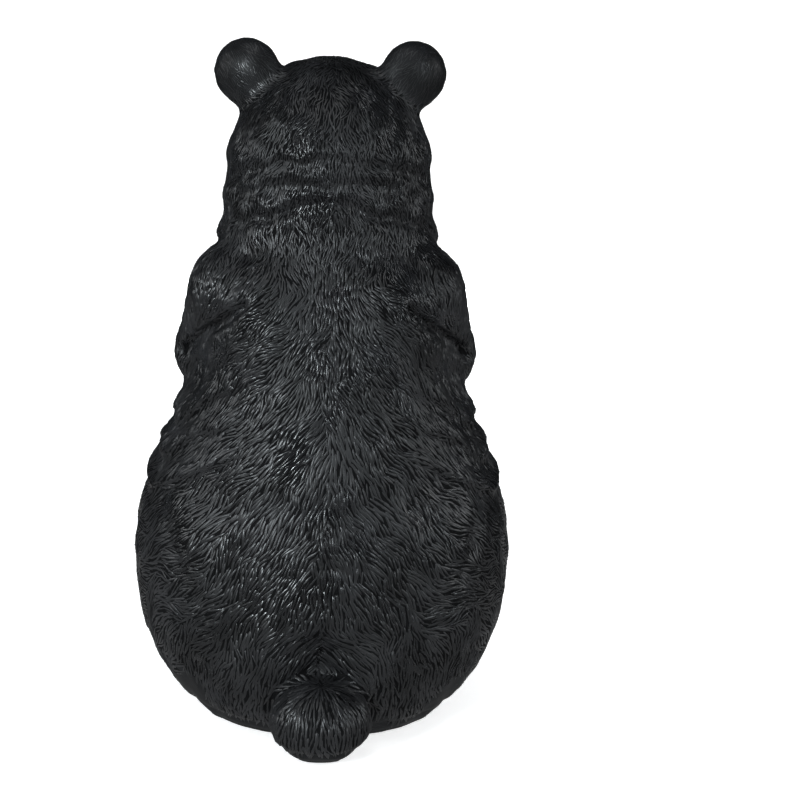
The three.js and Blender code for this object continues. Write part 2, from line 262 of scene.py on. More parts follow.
# %% Pressing them into the body
points, normals = points_of(body.data) / MM, normals_of(body.data)
left = on_left(points)
x, y, z = left.T
outwards = RUFF_OUT * ruff_tiers(x, y, z) + FLANK_OUT * flank_folds(x, y, z)
outwards += ARM_OUT * crease(left, ARM_CREASE, ARM_OUT_WIDE)
for line, deep, wide in GROOVES:
    outwards -= deep * crease(left, line, wide)
ragged = left + np.outer(RAGGED * waviness(points, RAGGED_LENGTH, 3), (0, 0, 1))
for line, deep in NAPE_EDGES:
    overhang = np.array(line) + (0, 0, OVERHANG_UP)
    hanging = OVERHANG_OUT * deep * crease(ragged, overhang, OVERHANG_WIDE)
    outwards += hanging - deep * crease(ragged, line, NAPE_EDGE_WIDE)
outwards -= BASE_SEAM_DEEP * np.exp(-(((z - BASE_SEAM) / BASE_SEAM_WIDE) ** 2))
outwards -= PAD_DEEP * sole_pad_edge(x, y, z)
outwards -= COAT_DEPTH
outwards[z < FLAT_BASE] = 0
move_points(body.data, (points + normals * outwards[:, None]) * MM)
print("folds reach out", round(outwards.max(), 2), "and in", round(outwards.min(), 2), "mm")

# %% [markdown]
# ## The lie of the fur
#
# Fur has a direction everywhere: away from the nose on the face, to the spine between the shoulder
# blades, out from the spine on the back, nearly level round the hips, straight down on the rump.
# A groom is best given by a few guides. Each row here is a place on the bear's left side
# and the way the fur lies there, and every other place blends the nearest guides. The parting
# wanders to and fro over the spine, and all fur of the tail runs away from the tail's crown.

# %% Guides: place in millimetres, then direction
GUIDES = np.array([
    # crown and back of the head
    (0, -10, 371, 0, 1, 0), (14, 35, 348, 0.25, 0.2, -1), (36, 30, 337, 0.55, 0.1, -0.8),
    (54, 0, 320, 0.1, 0.5, -0.85), (0, 55, 330, 0.05, 0, -1), (42, 35, 309, 0.45, 0, -0.9),
    (0, 52, 301, 0.1, 0, -1), (50, 22, 286, 0.6, 0, -0.8), (25, 48, 300, 0.3, 0, -0.95),
    # shoulders and the whorl at the upper spine
    (42, 40, 273, 0.2, 0.2, -1), (0, 60, 275, 0, 0.3, -1), (11, 66, 262, -0.4, 0, -0.9),
    (22, 62, 266, -0.15, 0, -1), (62, 15, 255, 0.1, 0, -1), (31, 66, 244, 0.7, 0, -0.7),
    (14, 74, 241, 0.3, 0, -0.95), (3, 76, 246, 0.05, 0.1, -1), (70, 12, 226, -0.05, 0, -1),
    # back
    (34, 72, 222, 0.75, 0, -0.65), (53, 52, 209, 0.7, 0, -0.7), (3, 86, 208, 0.1, 0, -1),
    (20, 86, 191, 0.55, 0, -0.83), (70, 35, 175, 0.6, -0.3, -0.8), (53, 70, 161, 0.85, 0, -0.5),
    (20, 94, 159, 0.5, 0, -0.86), (3, 96, 150, 0.1, 0, -1), (36, 93, 136, 0.5, 0, -0.86),
    # hips and rump
    (76, 55, 121, 0.85, -0.2, -0.5), (75, 60, 88, 0.97, -0.3, -0.2), (97, 20, 92, 0.4, -0.8, -0.3),
    (70, 68, 57, 0.35, 0, -0.93), (36, 88, 58, 0.05, 0, -1), (8, 98, 78, 0.1, 0, -1),
    (20, 95, 45, 0.5, 0, -0.85), (42, 80, 24, 0.15, 0, -1), (45, 88, 100, 0.45, 0, -0.9),
    (14, 97, 62, 0.8, 0, -0.6), (24, 93, 58, 0.75, 0, -0.65), (68, 78, 76, 0.95, -0.25, -0.2),
    # legs
    (104, 0, 100, 0, -0.85, -0.5), (100, -40, 70, 0, -0.9, -0.4), (70, -70, 100, 0, -0.6, -0.8),
    (86, -104, 45, 0, -0.5, 0.8), (36, -98, 45, 0, -0.6, 0.7), (62, -112, 80, 0, -0.8, 0.5),
    # belly, chest and arms
    (30, -92, 110, 0.15, 0, -1), (4, -95, 120, 0.05, 0, -1), (4, -62, 230, 0, -0.2, -1),
    (30, -55, 235, -0.25, 0, -1), (4, -50, 275, 0.05, 0.1, -1), (65, -35, 195, -0.3, -0.9, -0.3),
    (32, -98, 176, -1, -0.1, -0.1), (45, -80, 182, -0.7, -0.7, -0.1), (70, -50, 140, 0.2, 0, -1),
    (4, -94, 75, 0.05, 0, -1), (4, -90, 40, 0.05, 0, -1), (24, -94, 80, 0.1, 0, -1),
    (22, -90, 45, 0.1, 0, -1),
    # face and ears
    (50, -20, 300, 0.3, 0.8, -0.5), (4, -40, 352, 0, 0.8, 0.6), (20, -50, 338, 0.3, 0.6, 0.7),
    (4, -70, 325, 0, 0.9, 0.4), (25, -60, 302, 0.2, 0.95, -0.1), (4, -70, 278, 0.1, 0.9, -0.4),
    (46, 15, 361, 0.6, 0, 0.8), (46, 2, 361, 0.6, 0, 0.8),
], float)
PARTING_WANDER, PARTING_LENGTH = 5, 60
GUIDE_REACH, GUIDE_FALL = 3, 4
TAIL_CENTRE, TAIL_RADII = np.array((0, 105, 21.5)), (29, 26, 23)
TAIL_CROWN = np.array((0, 109, 45))
SWING, HIP_SWING, SWING_LENGTH = 0.32, 0.4, 20
FINE_SWING, FINE_SWING_LENGTH = 0.16, 8
TAIL_CALM = 0.7
print(len(GUIDES), "guides a side")


# %% Blending the guides
def unit(vectors):
    return vectors / np.maximum(np.linalg.norm(vectors, axis=1, keepdims=True), 1e-9)


def near_tail(points):
    away = np.linalg.norm((points - TAIL_CENTRE) / TAIL_RADII, axis=1)
    return 1 - ease(away, 1.05, 1.2)


def fur_direction(points, normals, stray=0):
    parting = PARTING_WANDER * waviness(points * (0, 0, 1), PARTING_LENGTH, 8)[:, None]
    side = np.where(points[:, :1] < parting, -1.0, 1.0)
    left = points * np.hstack([side, np.ones_like(points[:, 1:])])
    gaps = np.linalg.norm(left[:, None, :] - GUIDES[None, :, :3], axis=2)
    weights = 1 / (gaps + GUIDE_REACH) ** GUIDE_FALL
    lie = unit(weights @ unit(GUIDES[:, 3:]))
    lie[:, :1] *= side
    on_tail = near_tail(points)[:, None]
    lie = lie * (1 - on_tail) + unit(points - TAIL_CROWN) * on_tail
    lie = unit(lie - normals * np.sum(lie * normals, axis=1, keepdims=True))
    hips = ease(np.abs(points[:, 0]), 45, 85) * ease(130 - points[:, 2], 0, 30)
    swing = (SWING + HIP_SWING * hips) * waviness(points, SWING_LENGTH, 4)
    swing += FINE_SWING * waviness(points, FINE_SWING_LENGTH, 9)
    swing = swing * (1 - TAIL_CALM * on_tail[:, 0]) + stray
    aside = np.cross(normals, lie)
    return lie * np.cos(swing)[:, None] + aside * np.sin(swing)[:, None]


# %% [markdown]
# ## Where each stroke starts
#
# Strokes pressed side by side leave no bare gap and seldom cross. Points scattered at random clump,
# so a stroke is kept only if none before it lies in a narrow ellipse round it: long along the
# fur, slim across it. The coat is finer on the head, ears and paws than on the back, and on the tail
# it lengthens away from the crown. Soles, ear cups, nose, eyes, the deepest creases and a rim at the
# ground stay bare.

# %% Length of a stroke at each place, 0 where the hide is bare
# These creases carry no strokes, so the dark body paint, which is painted shade, shows in them.
BARE_FOLDS = ((ARM_CREASE, 2.0), (MOUTH, 1.8), (TAIL_CREASE, 3.2))
EAR_ZONE, EAR_FOOT = ((46, 9, 362), (22.5, 15, 22.5)), 346
SOLE_ZONE, SOLE_FACING = ((60, -112, 36), (25, 22, 36)), -0.75
CUP_ZONE, CUP_FACING = ((46, -2, 361), (15, 13, 16)), -0.2
NOSE_ZONE = ((0, -89, 306), (14.5, 9.5, 10.5))
EYE_ZONE = ((21, -50, 322), (6.5, 6.5, 6.5))
FOREPAW_ZONE = ((28, -86, 176), (26, 22, 24))
HIND_PAW_ZONE = ((60, -108, 56), (30, 24, 36))
RIM_HIGH, RIM_RISE, RIM_WAVES, RIM_WAVE_LENGTH = 11, 24, 3, 16
BACK_LENGTH, SHOULDER_CUT, LENGTH_DRIFT, DRIFT_LENGTH = 12.0, 2.4, 1.2, 40
HEAD_LENGTH, FACE_LENGTH, EAR_LENGTH, PAW_LENGTH = 7.4, 5.4, 6.5, 6.0
HEAD_FOOT, FACE_FOOT, FACE_FRONT = 258, 262, -30
TAIL_GROWTH, TAIL_LENGTHS = 1.6, (5, 14)


def inside(points, centre, radii):
    return np.linalg.norm((points - centre) / radii, axis=1) < 1


def on_ear(points):
    return inside(on_left(points), *EAR_ZONE) & (points[:, 2] > EAR_FOOT)


def is_bare(points, normals):
    left = on_left(points)
    x, y, z = left.T
    sole = inside(left, *SOLE_ZONE) & (normals[:, 1] < SOLE_FACING)
    cup = inside(left, *CUP_ZONE) & (normals[:, 1] < CUP_FACING)
    nose = inside(left, *NOSE_ZONE)
    eye = inside(left, *EYE_ZONE)
    rise = RIM_RISE * ease(x, 54, 74) * ease(y, 20, 60)
    rim = z < RIM_HIGH + rise + RIM_WAVES * waviness(points, RIM_WAVE_LENGTH, 6)
    return sole | cup | nose | eye | rim


def stroke_length(points, normals):
    left = on_left(points)
    y, z = left.T[1:]
    length = BACK_LENGTH - SHOULDER_CUT * ease(z, 150, 205)
    length += LENGTH_DRIFT * waviness(points, DRIFT_LENGTH, 2)
    length = np.where(z > HEAD_FOOT, HEAD_LENGTH, length)
    length = np.where((z > FACE_FOOT) & (y < FACE_FRONT), FACE_LENGTH, length)
    length = np.where(on_ear(points), EAR_LENGTH, length)
    from_crown = np.linalg.norm(points - TAIL_CROWN, axis=1)
    on_tail = near_tail(points) > 0.5
    length = np.where(on_tail, np.clip(TAIL_GROWTH * from_crown, *TAIL_LENGTHS), length)
    paw = inside(left, *FOREPAW_ZONE) | inside(left, *HIND_PAW_ZONE)
    length = np.where(paw, PAW_LENGTH, length)
    for line, clear in BARE_FOLDS:
        length = np.where(distance_to_line(left, line) < clear, 0, length)
    return np.where(is_bare(points, normals), 0, length)


# %% Scattering and thinning
CANDIDATES = 300000
REACH_ALONG = 0.42
REACH_ACROSS = 0.12


def scatter(mesh, count, seed):
    rng = np.random.default_rng(seed)
    mesh.calc_loop_triangles()
    corners = np.empty(len(mesh.loop_triangles) * 3, np.int32)
    mesh.loop_triangles.foreach_get("vertices", corners)
    a, b, c = points_of(mesh)[corners.reshape(-1, 3).T] / MM
    cross = np.cross(b - a, c - a)
    area = np.linalg.norm(cross, axis=1) / 2
    pick = rng.choice(len(area), size=count, p=area / area.sum())
    u, v = rng.random((2, count, 1))
    flip = u + v > 1
    u, v = np.where(flip, 1 - u, u), np.where(flip, 1 - v, v)
    spread = a[pick] + u * (b[pick] - a[pick]) + v * (c[pick] - a[pick])
    return spread, unit(cross)[pick]


def thinned(places, lie, length, order):
    tree = KDTree(len(places))
    for number, place in enumerate(places):
        tree.insert(place, number)
    tree.balance()
    taken = length <= 0
    kept = []
    for number in order:
        if taken[number]:
            continue
        kept.append(number)
        along, across = REACH_ALONG * length[number], REACH_ACROSS * length[number]
        near = np.array([hit[1] for hit in tree.find_range(places[number], along)])
        offset = places[near] - places[number]
        ahead = offset @ lie[number]
        aside = np.sqrt(np.maximum(np.sum(offset * offset, axis=1) - ahead * ahead, 0))
        taken[near[(ahead / along) ** 2 + (aside / across) ** 2 < 1]] = True
    return np.array(kept)


places, facing = scatter(body.data, CANDIDATES, 11)
lengths = stroke_length(places, facing)
lies = fur_direction(places, facing)
roots = thinned(places, lies, lengths, np.random.default_rng(5).permutation(CANDIDATES))
print(len(roots), "strokes on", round(sum(face.area for face in body.data.polygons), 3), "m2")

# %% [markdown]
# ## One stroke
#
# A stroke is a slim ridge, pointed at both ends and three-sided, so that its crest catches the
# light. It is made once: a triangle is extruded through three stations, and its two ends are
# merged to points. It is drawn lying along X with its crest up, one unit long. The crest is shaded
# smooth and the two edges at its foot are sharp, so a dark line parts it from its neighbours.

# %% Modelling it
STATIONS = 3
STROKE_WIDE = 0.18
STROKE_HIGH = 0.052
STROKE_SUNK = 0.025
FACING_DOWN = -0.2
TIP_REACH = 1e-4


def stroke_mesh():
    ridge = bmesh.new()
    ring = bmesh.ops.create_circle(ridge, segments=3, radius=1, cap_ends=False)["verts"]
    upright = Matrix.Rotation(math.pi / 2, 3, "X") @ Matrix.Rotation(math.pi / 2, 3, "Y")
    bmesh.ops.rotate(ridge, verts=ring, matrix=upright)
    edges = list(ridge.edges)
    for _ in range(STATIONS + 1):
        made = bmesh.ops.extrude_edge_only(ridge, edges=edges)["geom"]
        edges = [item for item in made if isinstance(item, bmesh.types.BMEdge)]
        edges = [edge for edge in edges if len(edge.link_faces) == 1]
        moved = list({vert for edge in edges for vert in edge.verts})
        bmesh.ops.translate(ridge, verts=moved, vec=(1 / (STATIONS + 1), 0, 0))
    for end in (0, 1):
        tip = [vert for vert in ridge.verts if abs(vert.co.x - end) < TIP_REACH]
        bmesh.ops.pointmerge(ridge, verts=tip, merge_co=(end, 0, 0))
    bmesh.ops.triangulate(ridge, faces=ridge.faces)
    bmesh.ops.recalc_face_normals(ridge, faces=ridge.faces)
    for edge in ridge.edges:
        below = [face.normal.z < FACING_DOWN for face in edge.link_faces]
        edge.smooth = below[0] == below[1]
    mesh = bpy.data.meshes.new("stroke")
    ridge.to_mesh(mesh)
    ridge.free()
    return mesh


stroke = stroke_mesh()
print("a stroke:", len(stroke.vertices), "points,", len(stroke.polygons), "faces")

# %% [markdown]
# ## Combing the coat
#
# The Array modifier lays out as many copies of the stroke as the coat needs. Each copy is then
# bent along the fur: from its middle it steps forward and back over the body, and a BVH tree, which
# finds the nearest spot of a surface quickly, keeps every station on the hide. The strokes of one
# lock turn, lean and rise together, so the coat looks clumped and not sown. Those of the head are
# ruffled. The strokes stand bold on the shoulders and faint on the head, the ears and the outer hips.

# %% Stations of every stroke
TO_AHEAD, TO_TIP, TO_BEHIND, TO_ROOT = 0.27, 0.23, -0.34, -0.16

body_tree = BVHTree.FromPolygons(
    [tuple(point) for point in points_of(body.data)],
    [tuple(face.vertices) for face in body.data.polygons],
)


def on_body(points):
    hits = [body_tree.find_nearest(tuple(point * MM)) for point in points]
    spots = np.array([tuple(hit[0]) for hit in hits]) / MM
    return spots, np.array([tuple(hit[1]) for hit in hits])


def walk(points, directions, stride, stray):
    spots, facing = on_body(points + directions * stride[:, None])
    return spots, fur_direction(spots, facing, stray), facing


def stations_of(middle, normals, length, stray):
    centre = (middle, fur_direction(middle, normals, stray), normals)
    ahead = walk(*centre[:2], TO_AHEAD * length, stray)
    tip = walk(*ahead[:2], TO_TIP * length, stray)
    behind = walk(*centre[:2], TO_BEHIND * length, stray)
    root = walk(*behind[:2], TO_ROOT * length, stray)
    return [np.stack(track, axis=1) for track in zip(root, behind, centre, ahead, tip)]


# %% A map for the paint
CELL_EDGE, BAND_EDGE = 0.06, 0.05
FLANK_REACH = 0.05
END_REACH = 0.01
BANDS = 3


def bake_map(mesh, copies):
    """A map with one small cell for each stroke, so that no two strokes share a spot."""
    corners = len(stroke.loops)
    index = np.empty(corners, np.int32)
    stroke.loops.foreach_get("vertex_index", index)
    along, across, up = points_of(stroke)[index].T
    middles = np.repeat([tuple(face.center) for face in stroke.polygons], 3, axis=0)
    right_or_under = np.where(middles[:, 1] < -FLANK_REACH, 1, 2)
    band = np.where(middles[:, 1] > FLANK_REACH, 0, right_or_under)
    ends = (along < END_REACH) | (along > 1 - END_REACH)
    share = np.where(band == 2, (across > 0) * 1.0, (up > 0) * 1.0)
    share = BAND_EDGE + (1 - 2 * BAND_EDGE) * np.where(ends, 0.5, share)
    cell = np.stack([along, (band + share) / BANDS], axis=1)
    side = math.ceil(math.sqrt(copies))
    corner = np.stack([np.arange(copies) % side, np.arange(copies) // side], axis=1)
    spread = (corner[:, None, :] + CELL_EDGE + (1 - 2 * CELL_EDGE) * cell[None, :, :]) / side
    layer = mesh.uv_layers.new(name="OFBake")
    layer.data.foreach_set("uv", spread.astype(np.float32).ravel())


# %% Height of the strokes at each place
BOLD_SHOULDERS, FAINT_HEAD, FAINT_HIPS, FAINT_SIDES, FAINT_EARS = 0.35, 0.22, 0.35, 0.4, 0.28
LOCK_HEIGHT, LOCK_HEIGHT_LENGTH = 0.35, 9


def boldness(points):
    out, z = np.abs(points[:, 0]), points[:, 2]
    shoulders = BOLD_SHOULDERS * ease(z, 185, 212) * (1 - ease(z, 248, 266))
    head = FAINT_HEAD * ease(z, 262, 285)
    hips = FAINT_HIPS * ease(out, 40, 90) * (1 - ease(z, 125, 160))
    return (1 + shoulders - head - hips) * (1 - FAINT_SIDES * ease(out, 84, 100))


# %% Laying the copies
GROUND_GAP = 0.3
LENGTH_RANGE, WIDTH_RANGE, HEIGHT_RANGE = (0.7, 1.25), (0.65, 1.25), (0.55, 1.35)
STRAY, HEAD_RUFFLE, LOCK_STRAY, LOCK_STRAY_LENGTH = 0.09, 1.6, 0.13, 15
LEAN, LOCK_LEAN, LOCK_LEAN_LENGTH, MOST_LEAN = 0.3, 0.45, 11, 0.85
EAR_WIDTH = 0.8
CREST_SIDE = -0.1
# Width and crest height at the five stations, from root to tip.
WIDTHS = np.array((0, 0.85, 1, 0.75, 0))
CRESTS = np.array((-0.5, 0.85, 1, 0.95, 0))


def comb(name, chosen, seed):
    rng = np.random.default_rng(seed)
    middle, normals, length = places[chosen], facing[chosen], lengths[chosen]
    length = length * rng.uniform(*LENGTH_RANGE, len(chosen))
    stray = rng.normal(0, STRAY, len(chosen)) * (1 + HEAD_RUFFLE * ease(middle[:, 2], 245, 275))
    stray += LOCK_STRAY * waviness(middle, LOCK_STRAY_LENGTH, 22)
    spots, lie, up = stations_of(middle, normals, length, stray)
    aside = np.cross(up, lie)
    fullness = 1 + LOCK_HEIGHT * waviness(middle, LOCK_HEIGHT_LENGTH, 21)
    width = lengths[chosen] * STROKE_WIDE * rng.uniform(*WIDTH_RANGE, len(chosen)) / 2
    width *= np.where(on_ear(middle), EAR_WIDTH, 1)
    lean = rng.uniform(-LEAN, LEAN, len(chosen))
    lean += LOCK_LEAN * waviness(middle, LOCK_LEAN_LENGTH, 23)
    lean = np.clip(lean, -MOST_LEAN, MOST_LEAN) * width
    height = lengths[chosen] * STROKE_HIGH * rng.uniform(*HEIGHT_RANGE, len(chosen)) * fullness
    height *= np.where(on_ear(middle), FAINT_EARS, 1)
    height *= boldness(middle)
    sunk = -STROKE_SUNK * lengths[chosen]

    along, across, crest = points_of(stroke).T
    station = np.rint(along * (STATIONS + 1)).astype(int)
    is_side = crest < CREST_SIDE
    sideways = width[:, None] * WIDTHS[station] * across / np.abs(across).max()
    sideways = np.where(is_side, sideways, lean[:, None] * WIDTHS[station])
    lift = np.where(is_side, sunk[:, None], height[:, None] * CRESTS[station])
    laid = spots[:, station] + aside[:, station] * sideways[..., None]
    laid += up[:, station] * lift[..., None]
    laid[..., 2] = np.maximum(laid[..., 2], GROUND_GAP)

    fur = new_piece(name, stroke.copy())
    array = fur.modifiers.new("copies", "ARRAY")
    array.count = len(chosen)
    array.use_relative_offset = False
    with_modifiers_applied(fur)
    move_points(fur.data, laid.reshape(-1, 3) * MM)
    fur.data.polygons.foreach_set("use_smooth", np.ones(len(fur.data.polygons), bool))
    bake_map(fur.data, len(chosen))
    print(name, len(chosen), "strokes,", triangle_count(fur.data), "triangles")
    return fur


# %% The coat in parts
FACE_BACK, REAR_FRONT = -20, -25
SHOULDER_FOOT, BACK_FOOT = 185, 100
FIRST_SEED = 30

root_y, root_z = places[roots].T[1:]
head = root_z > HEAD_FOOT
rear = ~head & (root_y > REAR_FRONT)
REGIONS = {
    "fur_face": head & (root_y < FACE_BACK),
    "fur_head": head & (root_y >= FACE_BACK),
    "fur_shoulders": rear & (root_z > SHOULDER_FOOT),
    "fur_back": rear & (root_z <= SHOULDER_FOOT) & (root_z > BACK_FOOT),
    "fur_rump": rear & (root_z <= BACK_FOOT),
    "fur_front": ~head & ~rear,
}
coat = [
    comb(name, roots[where], FIRST_SEED + number)
    for number, (name, where) in enumerate(REGIONS.items())
]

# %% [markdown]
# ## Nose, eyes and claws
#
# These are hard and smooth where the rest is furred. The nose is a sphere with two nostrils pressed
# in, each eye a small bead, and each claw a cone that is bent as it is drawn out. A maker would set
# beads and pinched pegs of clay into the model before the mould is taken.

# %% Nose and eyes
def shaped(name, form):
    mesh = bpy.data.meshes.new(name)
    bmesh.ops.recalc_face_normals(form, faces=form.faces)
    for face in form.faces:
        face.smooth = True
    form.to_mesh(mesh)
    form.free()
    return new_piece(name, mesh)


def add_ball(form, centre, radii, segments, rings):
    ball = bmesh.ops.create_uvsphere(form, u_segments=segments, v_segments=rings, radius=1)["verts"]
    bmesh.ops.scale(form, verts=ball, vec=Vector(radii) * MM)
    bmesh.ops.translate(form, verts=ball, vec=Vector(centre) * MM)
    return ball


NOSE_AT, NOSE_RADII = (0, -88, 306), (13.8, 8.4, 9.8)
NOSTRIL_AT, NOSTRIL_WIDE, NOSTRIL_DEEP = (6.2, -95, 305), 3.6, 3.2
EYE_AT, EYE_RADIUS = (21.5, -50, 322), 5.8
NOSE_GRID, EYE_GRID = (40, 28), (24, 16)

form = bmesh.new()
for vert in add_ball(form, NOSE_AT, NOSE_RADII, *NOSE_GRID):
    near = Vector((abs(vert.co.x), vert.co.y, vert.co.z)) / MM - Vector(NOSTRIL_AT)
    vert.co.y += NOSTRIL_DEEP * MM * math.exp(-((near.length / NOSTRIL_WIDE) ** 2))
nose = shaped("nose", form)

form = bmesh.new()
for side in (-1, 1):
    add_ball(form, (side * EYE_AT[0], *EYE_AT[1:]), (EYE_RADIUS,) * 3, *EYE_GRID)
eyes = shaped("eyes", form)
print("nose and eyes:", triangle_count(nose.data) + triangle_count(eyes.data), "triangles")

# %% Claws
CLAW_LONG, CLAW_THICK, CLAW_TIP, CLAW_DROP, CLAW_SWELL = 12.0, 3.3, 0.35, 4.2, 0.35
CLAW_SIDES, CLAW_CUTS = 12, 4
CLAW_FAN, HIND_CLAW_RAISE = 0.25, 0.5
TOE_FAN = (-1, -0.5, 0, 0.5, 1)
FOOT_AT, FOOT_LEAN = Vector((60, -102.7, 36.5)), 0.14
FOREPAW_AT = Vector((32, -78.7, 175))
ROOT_AHEAD = Vector((0, -5, 4))


def claw_mesh():
    form = bmesh.new()
    bmesh.ops.create_cone(
        form, cap_ends=True, segments=CLAW_SIDES,
        radius1=CLAW_THICK, radius2=CLAW_TIP, depth=CLAW_LONG,
    )
    bmesh.ops.translate(form, verts=form.verts, vec=(0, 0, CLAW_LONG / 2))
    sides = [edge for edge in form.edges if abs(edge.verts[0].co.z - edge.verts[1].co.z) > 1]
    bmesh.ops.subdivide_edges(form, edges=sides, cuts=CLAW_CUTS, use_grid_fill=True)
    for vert in form.verts:
        share = vert.co.z / CLAW_LONG
        fuller = 1 + CLAW_SWELL * math.sin(math.pi * share)
        drop = CLAW_DROP * share * share
        vert.co = Vector((vert.co.x * fuller, vert.co.z, vert.co.y * fuller - drop))
    mesh = bpy.data.meshes.new("claw")
    form.to_mesh(mesh)
    form.free()
    return mesh


def claw_places():
    lean = Matrix.Rotation(FOOT_LEAN, 3, "X")
    raised = Matrix.Rotation(HIND_CLAW_RAISE, 4, "X")
    for fan in TOE_FAN:
        toe = Vector((19 * fan, -8, 30 - 6 * fan * fan))
        knuckle = FOOT_AT + lean @ toe + ROOT_AHEAD
        turn = Matrix.Rotation(math.pi - CLAW_FAN * fan, 4, "Z") @ raised
        yield Matrix.Translation(knuckle) @ turn
    inwards = Matrix.Rotation(math.pi / 2, 4, "Z")
    for fan in TOE_FAN:
        knuckle = FOREPAW_AT + Vector((-16 + 3 * fan * fan, -9.5, -12.5 * fan))
        turn = Matrix.Rotation(CLAW_FAN * fan, 4, "Y") @ inwards
        yield Matrix.Translation(knuckle) @ turn


claw = claw_mesh()
form = bmesh.new()
for place in claw_places():
    for side in (1, -1):
        placed = claw.copy()
        placed.transform(Matrix.Diagonal((side * MM, MM, MM, 1)) @ place)
        form.from_mesh(placed)
claws = shaped("claws", form)
print("claws:", triangle_count(claws.data), "triangles")

# %% [markdown]
# ## Black paint
#
# The whole casting is black, half matt. Between the strokes the body takes a darker, duller paint;
# its darkness is painted shade in the grooves and in the bare creases. The strokes shine on their
# crests, and soles, ears and rim are in between. Nothing painted is one flat tone: the coat is
# thinner here and thicker there, so colour and roughness both drift, and a fine grain breaks up the
# shine. All three are noise textures on Object coordinates, which stay put on the piece. Nose, eyes
# and claws have an even gloss.

# %% The paint
TONE_NOISE, SHINE_NOISE, GRAIN_NOISE = (38, 5), (36, 4), (1400, 2)
TONE_ENDS, SHINE_ENDS = (0.35, 0.7), (0.3, 0.7)
GRAIN_DEEP = 0.15 * MM
FULL_SPECULAR = 0.5


def noise(nodes, links, place, scale, detail):
    texture = nodes.new("ShaderNodeTexNoise")
    texture.inputs["Scale"].default_value = scale
    texture.inputs["Detail"].default_value = detail
    links.new(place.outputs["Object"], texture.inputs["Vector"])
    return texture


def black_paint(name, dark, light, rough, grain=0.35, specular=FULL_SPECULAR):
    material = bpy.data.materials.new(name)
    material.use_nodes = True
    nodes, links = material.node_tree.nodes, material.node_tree.links
    shader = nodes["Principled BSDF"]
    shader.inputs["Specular IOR Level"].default_value = specular
    place = nodes.new("ShaderNodeTexCoord")

    tone = nodes.new("ShaderNodeValToRGB")
    for element, position, colour in zip(tone.color_ramp.elements, TONE_ENDS, (dark, light)):
        element.position, element.color = position, (*colour, 1)
    links.new(noise(nodes, links, place, *TONE_NOISE).outputs["Fac"], tone.inputs["Fac"])
    links.new(tone.outputs["Color"], shader.inputs["Base Color"])

    drift = nodes.new("ShaderNodeMapRange")
    drift.inputs["From Min"].default_value, drift.inputs["From Max"].default_value = SHINE_ENDS
    drift.inputs["To Min"].default_value, drift.inputs["To Max"].default_value = rough
    links.new(noise(nodes, links, place, *SHINE_NOISE).outputs["Fac"], drift.inputs["Value"])
    links.new(drift.outputs["Result"], shader.inputs["Roughness"])

    bump = nodes.new("ShaderNodeBump")
    bump.inputs["Strength"].default_value = grain
    bump.inputs["Distance"].default_value = GRAIN_DEEP
    links.new(noise(nodes, links, place, *GRAIN_NOISE).outputs["Fac"], bump.inputs["Height"])
    links.new(bump.outputs["Normal"], shader.inputs["Normal"])
    return material


# %% Four mixes of it
# The paint for the body between the strokes is darker than the rest: its dark colour is painted
# shade, standing in for the shade in the grooves and in the bare creases.
groove_shade_paint = black_paint(
    "painted groove shade", (0.002, 0.0021, 0.0023), (0.004, 0.0042, 0.0046), (0.6, 0.75), specular=0.05
)
hide_paint = black_paint(
    "hide paint", (0.005, 0.0053, 0.0058), (0.013, 0.0136, 0.015), (0.16, 0.5)
)
bare_paint = black_paint(
    "smooth hide paint", (0.004, 0.0042, 0.0046), (0.01, 0.0105, 0.0115), (0.36, 0.55), specular=0.14
)
hard_paint = black_paint(
    "nose and claw paint", (0.005, 0.005, 0.0055), (0.011, 0.011, 0.012), (0.2, 0.3), grain=0.1
)

# %% Painting the pieces
body.data.polygons.foreach_set("use_smooth", np.ones(len(body.data.polygons), bool))
body.data.materials.append(groove_shade_paint)
body.data.materials.append(bare_paint)
middles = np.array([tuple(face.center) for face in body.data.polygons]) / MM
tilts = np.array([tuple(face.normal) for face in body.data.polygons])
smooth_hide = is_bare(middles, tilts) | on_ear(middles)
# Faces outside the smooth hide take the first paint, whose dark colour is painted shade between the
# strokes.
body.data.polygons.foreach_set("material_index", smooth_hide.astype(np.int32))
for piece in coat:
    piece.data.materials.append(hide_paint)
for piece in (nose, eyes, claws):
    piece.data.materials.append(hard_paint)
print("smooth hide:", int(smooth_hide.sum()), "of", len(smooth_hide), "faces")

# %% Fixing the pieces to the frame
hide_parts("bear")
for piece in [body, *coat, nose, eyes, claws]:
    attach(piece, "root")
print("pieces:", len(coat) + 4)

# %% [markdown]
# ## Studio
#
# A round sweep, floor and wall in one pale sheet, leaves no horizon. Two small soft lights stand low
# behind the bear, to either side of the camera, and streak the crests of its fur. Two wide ones light
# its sides, one hangs overhead, a weak one stands in front, and a disk on the floor gives the light
# that the sheet throws back. The camera stands behind the bear and a little above it.

# %% Sweep
SWEEP_RADIUS, SWEEP_HIGH, SWEEP_BEND = 3.2, 2.6, 0.9
BEND_STEPS, ROUND_STEPS = 8, 64
SEAM_REACH = 0.0001

form = bmesh.new()
profile = [(0.0, 0.0), (SWEEP_RADIUS - SWEEP_BEND, 0.0)]
for step in range(1, BEND_STEPS + 1):
    angle = step / BEND_STEPS * math.pi / 2
    profile.append((
        SWEEP_RADIUS - SWEEP_BEND + SWEEP_BEND * math.sin(angle),
        SWEEP_BEND - SWEEP_BEND * math.cos(angle),
    ))
profile.append((SWEEP_RADIUS, SWEEP_HIGH))
line = [form.verts.new((reach, 0, height)) for reach, height in profile]
edges = [form.edges.new(pair) for pair in zip(line[:-1], line[1:])]
bmesh.ops.spin(
    form, geom=line + edges, cent=(0, 0, 0), axis=(0, 0, 1),
    angle=2 * math.pi, steps=ROUND_STEPS, use_merge=True,
)
bmesh.ops.remove_doubles(form, verts=form.verts, dist=SEAM_REACH)
sweep = shaped("sweep", form)
sweep.visible_glossy = False

